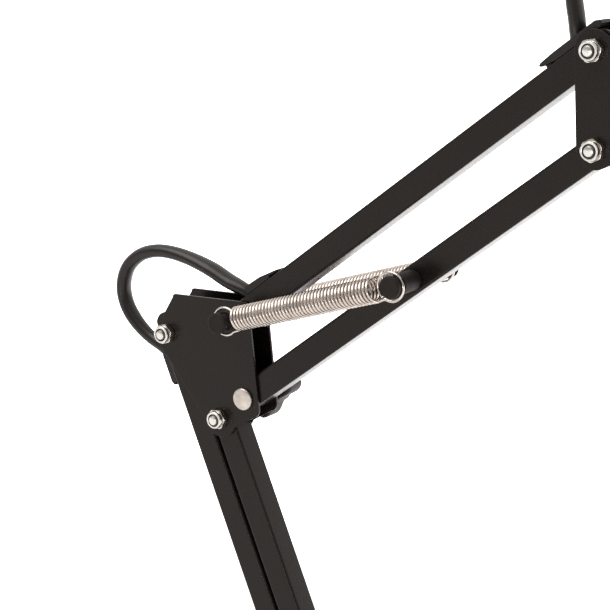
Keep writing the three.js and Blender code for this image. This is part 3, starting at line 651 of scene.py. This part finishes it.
def plug_piece():
    """The body of a generic two-pin plug, narrower at the cord, with grip ribs on both faces."""
    x, entry, long = PLUG["x"], PLUG["entry"], PLUG["long"]
    wide, narrow = PLUG["front_half"], PLUG["entry_half"]
    front = entry - long
    outline = hull_of_discs([(x - wide, front + 3, 3), (x + wide, front + 3, 3), (x + narrow, entry - 4, 4),
                             (x - narrow, entry - 4, 4)])
    # slab_mesh works in XZ: the outline's second number is this piece's Y, and its thickness is along Z
    v, f = slab_mesh(outline, PLUG["low"], PLUG["low"] + PLUG["thick"], 2.2, rounds=4)
    body = ([(a, c, b) for a, b, c in v], f)
    ribs = []
    for k in range(6):
        y = entry - 9 - 2.6 * k
        half = 6.4 + (wide - narrow) * (entry - 4 - y) / (long - 7) * 0.82
        rib_line = evenly(np.array([(x - half, y, PLUG_Z), (x + half, y, PLUG_Z)]), 2)
        rib, faces = sweep(rib_line, 0.7, 8, (0, 0, 1))
        for lift in (-6.45, 6.75):
            ribs.append(([(a, b, c + lift) for a, b, c in rib], faces))
    return piece("plug_body", *merged(body, *ribs), plastic, 35)


plug = placed(plug_piece(), "base", "black_plastic", "mains_plug")
pin_parts = []
for pin_side in (-1, 1):
    pin_profile = [(0, 0), (1.1, 0.1), (1.7, 0.6), (2, 1.5), (2, PLUG["pin"] + 2), (0, PLUG["pin"] + 2)]
    pin_parts.append(lathe(pin_profile, 24, AXIS_Y, (
        PLUG["x"] + pin_side * PLUG["gap"] / 2, PLUG["entry"] - PLUG["long"] - PLUG["pin"], PLUG_Z)))
pins = placed(piece("plug_pins", *merged(*pin_parts), nickel, 35), "base", "nickel")

TIE = {"angle": math.radians(205), "half_width": 11.4, "half_height": 7.4, "middle": 8, "corner": 0.35}


def tie_points():
    """A loop with rounded corners round the turns, across the coil at one place."""
    points = []
    for k in range(41):
        t = 2 * math.pi * k / 40
        out = math.copysign(abs(math.cos(t)) ** TIE["corner"], math.cos(t)) * TIE["half_width"]
        up = math.copysign(abs(math.sin(t)) ** TIE["corner"], math.sin(t)) * TIE["half_height"]
        points.append(on_coil(COIL_MIDDLE + out, TIE["angle"], TIE["middle"] + up))
    return np.array(points)


tie = placed(piece("cord_tie", *sweep(tie_points(), 0.5, 8, (0, 0, 1), caps=False), plastic, 50), "base",
             "black_plastic")

# ---- springs -------------------------------------------------------------------------------------
WIRE_R = 0.74
COIL_R = 5.8
COILS = 42
COIL_STEPS = 20
FIRST_COIL = 10.2                       # from the first post
LAST_COIL = 11.3                        # from the second post
RING_R = {-1: 7.1, 1: 6.4}              # front and rear springs
RING_IN = 2.7                           # middle of the first ring, past the first post
RING_OUT = 1.8                          # middle of the second ring, short of the second post
RING_STEPS = 40
RING_LEAN = 0.25                        # a ring's wire passes its own end by this much


def ring_points(middle, r, first_angle, turn, lean):
    """A ring of wire round a post, angles in degrees, whose far end has moved sideways by lean."""
    points = []
    for k in range(RING_STEPS + 1):
        share = k / RING_STEPS
        a = math.radians(first_angle + turn * share)
        points.append((middle + r * math.cos(a), lean * share, r * math.sin(a)))
    return points


def spring_line(start, end, side):
    """A wound extension spring: a ring round the first post, coils, and a ring round the second."""
    reach = math.hypot(end[0] - start[0], end[1] - start[1])
    ring_r = RING_R[side]
    points = ring_points(RING_IN, ring_r, 38, 262, -side * RING_LEAN)
    total = COILS * COIL_STEPS
    wound = reach - LAST_COIL - FIRST_COIL
    for k in range(total + 1):
        a = 2 * math.pi * k / COIL_STEPS - math.pi / 2
        points.append((FIRST_COIL + wound * k / total, -side * COIL_R * math.cos(a), COIL_R * math.sin(a)))
    points += ring_points(reach - RING_OUT, ring_r, -132, 345, side * RING_LEAN)
    angle = math.atan2(end[1] - start[1], end[0] - start[0])
    c, s = math.cos(angle), math.sin(angle)
    return np.array([(start[0] + c * x - s * z, side * SPRING_Y + y, start[1] + s * x + c * z)
                     for x, y, z in smooth_line(points, 0.62)])


def spring(name, start, end, side, node):
    """A wire swept along the spring's wound line, in place of the CAD spring."""
    made = piece(name, *sweep(spring_line(start, end, side), WIRE_R, 8), nickel, 70)
    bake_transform(made)
    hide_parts(node)


for spring_side, where in ((-1, "front"), (1, "rear")):
    spring(f"upper_coils_{where}", ELBOW_HIGH, UPPER_POST, spring_side,
           f"upper_spring_{where}")
    spring(f"lower_coils_{where}", BASE_LEFT, LOWER_POST, spring_side,
           f"lower_spring_{where}")


# ---- bolts, nuts, posts, knobs -------------------------------------------------------------------
def on_y(profile, pivot, segments=48):
    return lathe(profile, segments, AXIS_Y, (pivot[0], 0, pivot[1]))


def dome(r, face, rise, outward):
    """A slightly crowned round head: points from its rim at the face to its middle."""
    points = [(r, face), (r, face + outward * rise * 0.35)]
    for k in range(1, 6):
        a = k * math.pi / 10
        points.append((r - 0.7 + 0.7 * math.cos(a), face + outward * rise * (0.35 + 0.5 * math.sin(a))))
    for k in range(1, 7):
        share = 1 - k / 6
        points.append(((r - 0.7) * share, face + outward * rise * (0.85 + 0.15 * (1 - share**2))))
    return points


def threaded(low, high, r=BOLT_R, pitch=1.0, depth=0.32):
    """Radii and heights of a thread, as ridges."""
    points = []
    y = low
    while y < high - pitch / 2:
        points += [(r - depth, y), (r, y + pitch * 0.45), (r, y + pitch * 0.55)]
        y += pitch
    return points


def pivot_bolt(name, pivot, body, node):
    tip = -PLATE_OUT - 6.5
    profile = [(0, tip), (BOLT_R - 0.85, tip), (BOLT_R - 0.7, tip + 0.08), (BOLT_R - 0.3, tip + 0.5),
               *threaded(tip + 0.5, -PLATE_OUT - 0.4), (BOLT_R, -PLATE_OUT), (BOLT_R, PLATE_OUT + GAP),
               *dome(BUTTON_R, PLATE_OUT + GAP, BUTTON_DEEP, 1)]
    made = piece(name, *on_y(profile, pivot), [zinc, thread_shade_metal], 50)
    # the thread and the tip's chamfer take the darker zinc: painted shade in the grooves
    for polygon in made.data.polygons:
        centre = polygon.center / MM
        if centre.y < -PLATE_OUT and math.hypot(centre.x - pivot[0], centre.z - pivot[1]) > BOLT_R - 0.76:
            polygon.material_index = 1
    placed(made, body, "zinc", node)


def lock_nut(name, pivot, body, node, turn):
    """Chamfered hexagon with a rounded collar over a dark nylon ring."""
    face = -PLATE_OUT - GAP
    flats = 5.0
    count = 96
    rows = [(4.95, 0), (5.35, 0.12), (9, 0.6), (9, 2.6), (5.4, 3.15), (5.0, 3.2), (4.72, 2.9), (4.66, 3.6),
            (4.62, 5.0), (4.5, 5.3), (4.3, 5.48), (3.6, 5.56), (3.42, 5.48), (3.32, 5.25), (HOLE_R, 4.5)]
    vertices, faces = [], []
    for limit, out in rows:
        for k in range(count):
            a = 2 * math.pi * k / count
            across = (a - turn) % (math.pi / 3) - math.pi / 6
            r = min(limit, flats / math.cos(across))
            vertices.append((pivot[0] + r * math.cos(a), face - out, pivot[1] + r * math.sin(a)))
    vertices += [(x, face, z) for x, z in circle(*pivot, HOLE_R, count)]
    bore = len(rows) * count
    for i in range(len(rows) - 1):
        for k in range(count):
            n = (k + 1) % count
            faces.append((i * count + k, i * count + n, (i + 1) * count + n, (i + 1) * count + k))
    for k in range(count):
        n = (k + 1) % count
        faces.append((k, bore + k, bore + n, n))
        faces.append(((len(rows) - 1) * count + k, (len(rows) - 1) * count + n, bore + n, bore + k))
    placed(piece(name, vertices, faces, zinc, 32), body, "zinc", node)
    ring = closed([(3.05, face - 4.4), (3.28, face - 4.4), (3.28, face - 4.8), (3.05, face - 4.7)])
    placed(piece(f"{name}_insert", *on_y(ring, pivot, 40), nylon, 40), body, "black_plastic")


def tension_bolt(name, pivot, body, node):
    end = 19
    profile = [*dome(BUTTON_R, -PLATE_OUT - GAP, BUTTON_DEEP, -1)[::-1], (BOLT_R, -PLATE_OUT - GAP),
               (BOLT_R, PLATE_OUT), *threaded(PLATE_OUT + 0.2, end), (BOLT_R - 0.4, end), (0, end)]
    placed(piece(name, *on_y(profile, pivot), button_metal, 45), body, "zinc", node)


def spool_pin(name, pivot, inner, body, node):
    """Collar, neck and cap at either end, the cap's rim rounded and its face very slightly hollow."""
    half = [(BOLT_R, inner), (4.9, inner), (5.2, inner + 0.3), (5.2, 21.2), (4.9, 21.5), (3.9, 21.5),
            (3.6, 21.8), (3.6, 26.2), (3.9, 26.5), (5.3, 26.5), (5.6, 26.8), (5.6, 27.9), (5.5, 28.35),
            (5.2, 28.7), (4.75, 28.9), (4.3, 28.9), (3.4, 28.8), (0, 28.76)]
    other = [(r, -y) for r, y in half][::-1]
    placed(piece(name, *on_y([*other, *half], pivot), post_enamel, 40), body, "black_enamel", node)


KNOB_LEAN = math.pi / 10
KNOB_VALLEY = 8.5
KNOB_LOBE = 16.4
KNOB_PINCH = 1.8


def knob_outline(pivot):
    points = []
    for k in range(144):
        a = 2 * math.pi * k / 144
        swell = (1 + math.cos(3 * (a - KNOB_LEAN))) / 2
        r = KNOB_VALLEY + (KNOB_LOBE - KNOB_VALLEY) * swell**KNOB_PINCH
        points.append((pivot[0] + r * math.cos(a), pivot[1] + r * math.sin(a)))
    return points


def knob(name, pivot, body, node):
    """Three rounded lobes on a stepped hub, with a moulded ring and a blind nut behind."""
    lobes = slab_mesh(knob_outline(pivot), 11, 23, 1.5, [circle(*pivot, 7.0)[::-1]], 4)
    hub = on_y(closed([(3.3, 9.1), (7.6, 9.1), (8, 9.5), (8, 11.4), (7.4, 11.8), (7.4, 22.2), (8, 22.6),
                       (8, 24.1), (7.6, 24.5), (5.6, 24.5), (5.2, 24.1), (0.01, 24.0), (0.01, 19.4),
                       (3.3, 19.4)]), pivot)
    placed(piece(name, *merged(lobes, hub), plastic, 40), body, "black_plastic", node)


def with_ear(outline, ear):
    """The convex outline with a round ear (x, z, radius) swelling out of it."""
    x, z, r = ear
    swollen = []
    for i, (ax, az) in enumerate(outline):
        bx, bz = outline[(i + 1) % len(outline)]
        steps = max(1, int(math.hypot(bx - ax, bz - az) / 0.8))
        for k in range(steps):
            px, pz = ax + (bx - ax) * k / steps, az + (bz - az) * k / steps
            away = math.hypot(px - x, pz - z)
            if away < r:
                px, pz = x + (px - x) * r / away, z + (pz - z) * r / away
            swollen.append((px, pz))
    return swollen


def bracket(name, discs, front, pivots, body, node, ear=None):
    low, high = (-PLATE_OUT, -PLATE_IN) if front else (PLATE_IN, PLATE_OUT)
    holes = [circle(x, z, HOLE_R)[::-1] for x, z in pivots]
    outline = hull_of_discs(discs)
    if ear:
        outline = with_ear(outline, ear)
    made = piece(name, *slab_mesh(outline, low, high, 0.3, holes), enamel, 35)
    placed(tidy_normals(made), body, "black_enamel", node)


# ---- base ----------------------------------------------------------------------------------------
cover_profile = [(94.6, 2.3), (95, 2.7), (95, 14)]
for k in range(1, 9):
    a = k * math.pi / 16
    cover_profile.append((90.5 + 4.5 * math.cos(a), 14 + 5 * math.sin(a)))
cover_profile += [(80, 20.7), (65, 23.4), (50, 25.1), (35, 26.05), (22, 26.7), (16, 27), (10.3, 27),
                  (10.3, 25.5), (34, 24.5), (65, 21.9), (88, 17.4), (92.6, 15.4), (93.5, 13), (93.5, 2.3)]
cover = piece("base_shell", *lathe(closed(cover_profile), 160), enamel, 40)
hole_profile = [(0, 80), (5.6, 80), (5.6, 110), (0, 110)]
hole = piece("cord_hole_tool", *lathe(hole_profile, 40, AXIS_Y, (0, 0, MAINS_Z)), enamel)
cutter = cover.modifiers.new("hole", "BOOLEAN")
cutter.operation = "DIFFERENCE"
cutter.solver = "EXACT"
cutter.object = hole
settled(cover)
bpy.data.objects.remove(hole)
cover.data.set_sharp_from_angle(angle=math.radians(40))
placed(tidy_normals(cover), "base", "black_enamel", "base_cover")

pad_profile = [(0, 0.02), (93.4, 0.02), (93.9, 0.5), (94, 1), (93.8, 1.7), (93.2, 2), (0, 2)]
placed(piece("foot_pad", *lathe(pad_profile, 128), felt, 50), "base", "felt", "base_foot_pad")
bush_profile = closed([(5.8, 19.6), (10, 19.6), (10, 27.3), (13.6, 27.3), (14, 27.7), (14, 28.8),
                       (13.5, 29.3), (6.2, 29.3), (5.8, 28.9)])
placed(piece("stem_bush", *lathe(bush_profile, 72), plastic, 40), "base", "black_plastic", "swivel_bush")

gland_profile = [(3.3, 88), (6.5, 88), (6.5, 91.4), (5.3, 91.4), (5.3, 95.6), (6.8, 95.6), (6.8, 97.2),
                 (6.2, 97.7)]
for k in range(7):
    y = 98.6 + 3.1 * k
    r = 5.7 - 0.19 * k
    gland_profile += [(r, y), (r, y + 1.9), (r - 0.7, y + 2.1), (r - 0.7, y + 3.0)]
gland_profile += [(4.4, 120.6), (4.2, 121.7), (3.8, 122), (3.3, 122)]
placed(piece("strain_relief", *lathe(closed(gland_profile), 48, AXIS_Y, (0, 0, MAINS_Z)), plastic, 35),
       "base", "black_plastic", "cord_gland")

# ---- stem and base bracket -----------------------------------------------------------------------
refined("bracket_block", "stem_block", "swivel", enamel, "black_enamel", 0.5, 3)
base_plate = [(-14, 34.9, 2), (14, 34.9, 2), (*BASE_RIGHT, 9.3), (*BASE_LEFT, 9.3)]
for is_front, where in ((True, "front"), (False, "rear")):
    bracket(f"base_bracket_{where}", base_plate, is_front, [BASE_LEFT, BASE_RIGHT], "swivel",
            f"base_plate_{where}")
spool_pin("base_spool_pin", BASE_LEFT, 9.1, "swivel", "base_spring_pin")
tension_bolt("base_button_bolt", BASE_RIGHT, "swivel", "base_tension_bolt")
knob("base_hand_knob", BASE_RIGHT, "base_knob", "base_knob")

# ---- arms ----------------------------------------------------------------------------------------
for tube, tube_body in (("lower_tube_left", "lower_left"), ("lower_tube_right", "lower_right"),
                        ("upper_tube_high", "upper_high"), ("upper_tube_low", "upper_low")):
    refined(tube, f"{tube}_skin", tube_body, enamel, "black_enamel", 0.18, 2, 40)
for hood, hood_body in (("cord_hood_base", "lower_left"), ("cord_hood_elbow_lower", "lower_left"),
                        ("cord_hood_elbow_upper", "upper_high"), ("cord_hood_head", "upper_high")):
    refined(hood, f"{hood}_skin", hood_body, plastic, "black_plastic", 0.45, 3, 35)
spool_pin("lower_spool_post", LOWER_POST, 7.3, "lower_right", "lower_spring_post")
spool_pin("upper_spool_post", UPPER_POST, 7.3, "upper_low", "upper_spring_post")

# ---- elbow ---------------------------------------------------------------------------------------
elbow_plate = [(*ELBOW_LEFT, 8.8), (*ELBOW_RIGHT, 8.7), (*plus(ELBOW_LOW, (5.2, -4.9)), 4.7),
               (*plus(ELBOW_LOW, (1.4, 50.3)), 2), (*plus(ELBOW_LOW, (-45, 49)), 1.5)]
for is_front, where in ((True, "front"), (False, "rear")):
    bracket(f"elbow_bracket_{where}", elbow_plate, is_front, [ELBOW_LEFT, ELBOW_RIGHT, ELBOW_LOW, ELBOW_HIGH],
            "elbow", f"elbow_plate_{where}", (*ELBOW_RIGHT, 10.4))
spool_pin("elbow_spool_pin", ELBOW_HIGH, 9.1, "elbow", "elbow_spring_pin")
pivot_bolt("elbow_screw_left", ELBOW_LEFT, "elbow", "elbow_bolt_left")
lock_nut("elbow_locknut_left", ELBOW_LEFT, "elbow", "elbow_nut_left", 0.3)
pivot_bolt("elbow_screw_right", ELBOW_RIGHT, "elbow", "elbow_bolt_right")
lock_nut("elbow_locknut_right", ELBOW_RIGHT, "elbow", "elbow_nut_right", 0.1)
tension_bolt("elbow_button_bolt", ELBOW_LOW, "elbow", "elbow_tension_bolt")
knob("elbow_hand_knob", ELBOW_LOW, "elbow_knob", "elbow_knob")

# ---- head ----------------------------------------------------------------------------------------
for is_front, where, top_r in ((True, "front", 9.5), (False, "rear", 12.4)):
    bracket(f"head_bracket_{where}", [(*HEAD_LOW, 9.3), (*TILT, 9.3), (*HEAD_HIGH, top_r)], is_front,
            [HEAD_LOW, HEAD_HIGH, TILT], "head", f"head_plate_{where}")
pivot_bolt("head_screw_high", HEAD_HIGH, "head", "head_bolt_high")
lock_nut("head_locknut_high", HEAD_HIGH, "head", "head_nut_high", 0.2)
pivot_bolt("head_screw_low", HEAD_LOW, "head", "head_bolt_low")
lock_nut("head_locknut_low", HEAD_LOW, "head", "head_nut_low", 0.45)
tension_bolt("head_button_bolt", TILT, "head", "head_tension_bolt")
knob("head_hand_knob", TILT, "head_knob", "head_knob")


# ---- shade ---------------------------------------------------------------------------------------
def shade_lathe(profile, segments):
    vertices, faces = lathe(profile, segments)
    return [in_shade(v) for v in vertices], faces


bell = [(22.2, -22), (24, -23.5), (30, -29), (40, -38), (49, -51), (56, -68), (60.5, -86), (62.5, -100),
        (64.3, -105)]
bell_line = smooth_line([(r, 0, z) for r, z in bell], 1.6)
outside = [(p[0], p[2]) for p in bell_line]
inside = [(r - 1.1, z - 0.5) for r, z in outside][::-1]
rolled = [(63.8 + 0.75 * math.cos(a), -105.3 - 0.7 * math.sin(a))
          for a in np.linspace(0.1, math.pi - 0.1, 7)]
profile = [(20.8, -22), *outside, *rolled, *inside, (20.8, -23.1)]
shade_v, shade_f = shade_lathe(closed(profile), 144)
bell_piece = piece("shade_bell", shade_v, shade_f, [enamel, white_inside], 50)
for polygon in bell_piece.data.polygons:
    centre = polygon.center / MM
    dx, dz = centre.x - SHADE_AT[0], centre.z - SHADE_AT[1]
    local = (math.cos(SHADE_TILT) * dx + math.sin(SHADE_TILT) * dz, centre.y,
             -math.sin(SHADE_TILT) * dx + math.cos(SHADE_TILT) * dz)
    outer = np.interp(-local[2], [-z for r, z in outside], [r for r, z in outside])
    if math.hypot(local[0], local[1]) < outer - 0.45 and local[2] > -105.2:
        polygon.material_index = 1
placed(bell_piece, "shade", "black_enamel", "shade")
refined("socket_cup", "socket_housing", "shade", enamel, "black_enamel", 0.5, 3, 40)
holder_profile = [(0, 12), (12.4, 12), (13, 11.4), (15, 8), (15, -6), (14.6, -7), (14.6, -8), (15, -9),
                  (15, -29.4), (14.6, -30), (10.8, -30), (10.2, -29.4), (10.2, -14), (0, -14)]
placed(piece("bulb_holder", *shade_lathe(holder_profile, 64), plastic, 40), "shade", "black_plastic",
       "lampholder")
cap_profile = [(0, -14.5), (4.6, -14.5), (5, -14.9), (9, -17)]
for k in range(6):
    z = -18.0 - 2.4 * k
    cap_profile += [(9.0, z), (9.6, z - 0.9), (9.6, z - 1.3), (9.0, z - 2.1)]
cap_profile += [(9.4, -33.2), (9.4, -34), (0, -34)]
placed(piece("bulb_screw", *shade_lathe(cap_profile, 56), brass, 50), "shade", "brass", "bulb_cap")
bulb_points = [(9.2, -34.4), (9.4, -38), (11.6, -43), (15.6, -48.6)]
for k in range(1, 19):
    a = math.radians(46) - math.radians(136) * k / 18
    bulb_points.append((22.5 * math.cos(a), -66 + 22.5 * math.sin(a)))
bulb_points[-1] = (0, -88.5)
placed(piece("bulb_glass", *shade_lathe([(0, -34.4), *bulb_points], 72), opal, 60), "shade", "opal_glass",
       "bulb")
switch_profile = [(0, 18), (5, 18), (5, 28.8), (4.7, 29.6), (4.0, 30), (0, 29.7)]
placed(piece("push_switch", *shade_lathe(switch_profile, 48), plastic, 40), "switch", "black_plastic",
       "switch_button")

# ---- CAD nodes that stay -------------------------------------------------------------------------
kept = {
    "base_weight": iron, "cord_in_base": rubber, "cord_in_lower_arm": rubber, "cord_in_upper_arm": rubber,
    "swivel_stem": zinc, "stem_nut": zinc,
}
for node_name, kept_material in kept.items():
    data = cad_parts[node_name].data
    data.materials.clear()
    data.materials.append(kept_material)

# ---- floor, light, world -------------------------------------------------------------------------
GLOW_Y = (0.25, 0.75)                   # metres; behind the lamp the floor shines more and more
GLOW = 1.5
PATCH = (0.45, -2.9, 0)                 # a bright patch far in front, which lights the undersides
PATCH_R = (0.7, 0.4)
PATCH_STRENGTH = 14.0


def make_floor():
    """Pale floor: faintly clouded, glowing towards the back, with one bright patch that lights from below."""
    m = Nodes("floor", Roughness=0.7)
    m.link(m.ramp(m.noise(1.5, 3), (0.83, 0.83, 0.83), (0.86, 0.86, 0.86)), m.shader, "Base Color")
    place = m.tree.nodes.new("ShaderNodeSeparateXYZ")
    m.link(m.place, place, "Vector")
    glow = m.between(place.outputs["Y"], *GLOW_Y, GLOW)
    glow.interpolation_type = "SMOOTHSTEP"
    apart = m.tree.nodes.new("ShaderNodeVectorMath")
    apart.operation = "DISTANCE"
    apart.inputs[1].default_value = PATCH
    m.link(m.place, apart, 0)
    patch = m.between(apart.outputs["Value"], *PATCH_R, PATCH_STRENGTH)
    both = m.tree.nodes.new("ShaderNodeMath")
    m.link(glow.outputs["Result"], both, 0)
    m.link(patch.outputs["Result"], both, 1)
    m.shader.inputs["Emission Color"].default_value = (1, 0.97, 0.96, 1)
    m.link(both.outputs["Value"], m.shader, "Emission Strength")
    return m.material


floor = piece("floor", [(-40, -40, 0), (40, -40, 0), (40, 40, 0), (-40, 40, 0)], [(0, 1, 2, 3)],
              make_floor(), metres=True)
floor.location.z = -0.0002


def sun(name, strength, direction, spread):
    data = bpy.data.lights.new(name, "SUN")
    data.energy = strength
    data.angle = math.radians(spread)
    made = bpy.data.objects.new(name, data)
    bpy.context.scene.collection.objects.link(made)
    made.rotation_euler = Vector(direction).to_track_quat("-Z", "Y").to_euler()


sun("key", 2.0, (0.35, 0.45, -1.0), 50)

SKY_LEAN = (-0.15, 0.75, 0.65)          # the sky's light grows this way
SKY_LIGHT = (0.35, 1.05)
SKY_SEEN = 1.1


def make_sky():
    """A pale sky, plain where the camera sees it, whose light is stronger from above and behind the lamp."""
    world = bpy.data.worlds.new("studio")
    world.use_nodes = True
    nodes, links = world.node_tree.nodes, world.node_tree.links
    lean = nodes.new("ShaderNodeVectorMath")
    lean.operation = "DOT_PRODUCT"
    lean.inputs[1].default_value = SKY_LEAN
    links.new(nodes.new("ShaderNodeTexCoord").outputs["Generated"], lean.inputs[0])
    light = nodes.new("ShaderNodeMapRange")
    light.inputs["From Min"].default_value = -0.6
    light.inputs["From Max"].default_value = 0.6
    light.inputs["To Min"].default_value = SKY_LIGHT[0]
    light.inputs["To Max"].default_value = SKY_LIGHT[1]
    links.new(lean.outputs["Value"], light.inputs["Value"])
    strength = nodes.new("ShaderNodeMix")
    links.new(nodes.new("ShaderNodeLightPath").outputs["Is Camera Ray"], strength.inputs["Factor"])
    links.new(light.outputs["Result"], strength.inputs["A"])
    strength.inputs["B"].default_value = SKY_SEEN
    nodes["Background"].inputs["Color"].default_value = (1, 1, 1, 1)
    links.new(strength.outputs["Result"], nodes["Background"].inputs["Strength"])
    return world


bpy.context.scene.world = make_sky()
bpy.context.scene.view_settings.view_transform = "Standard"
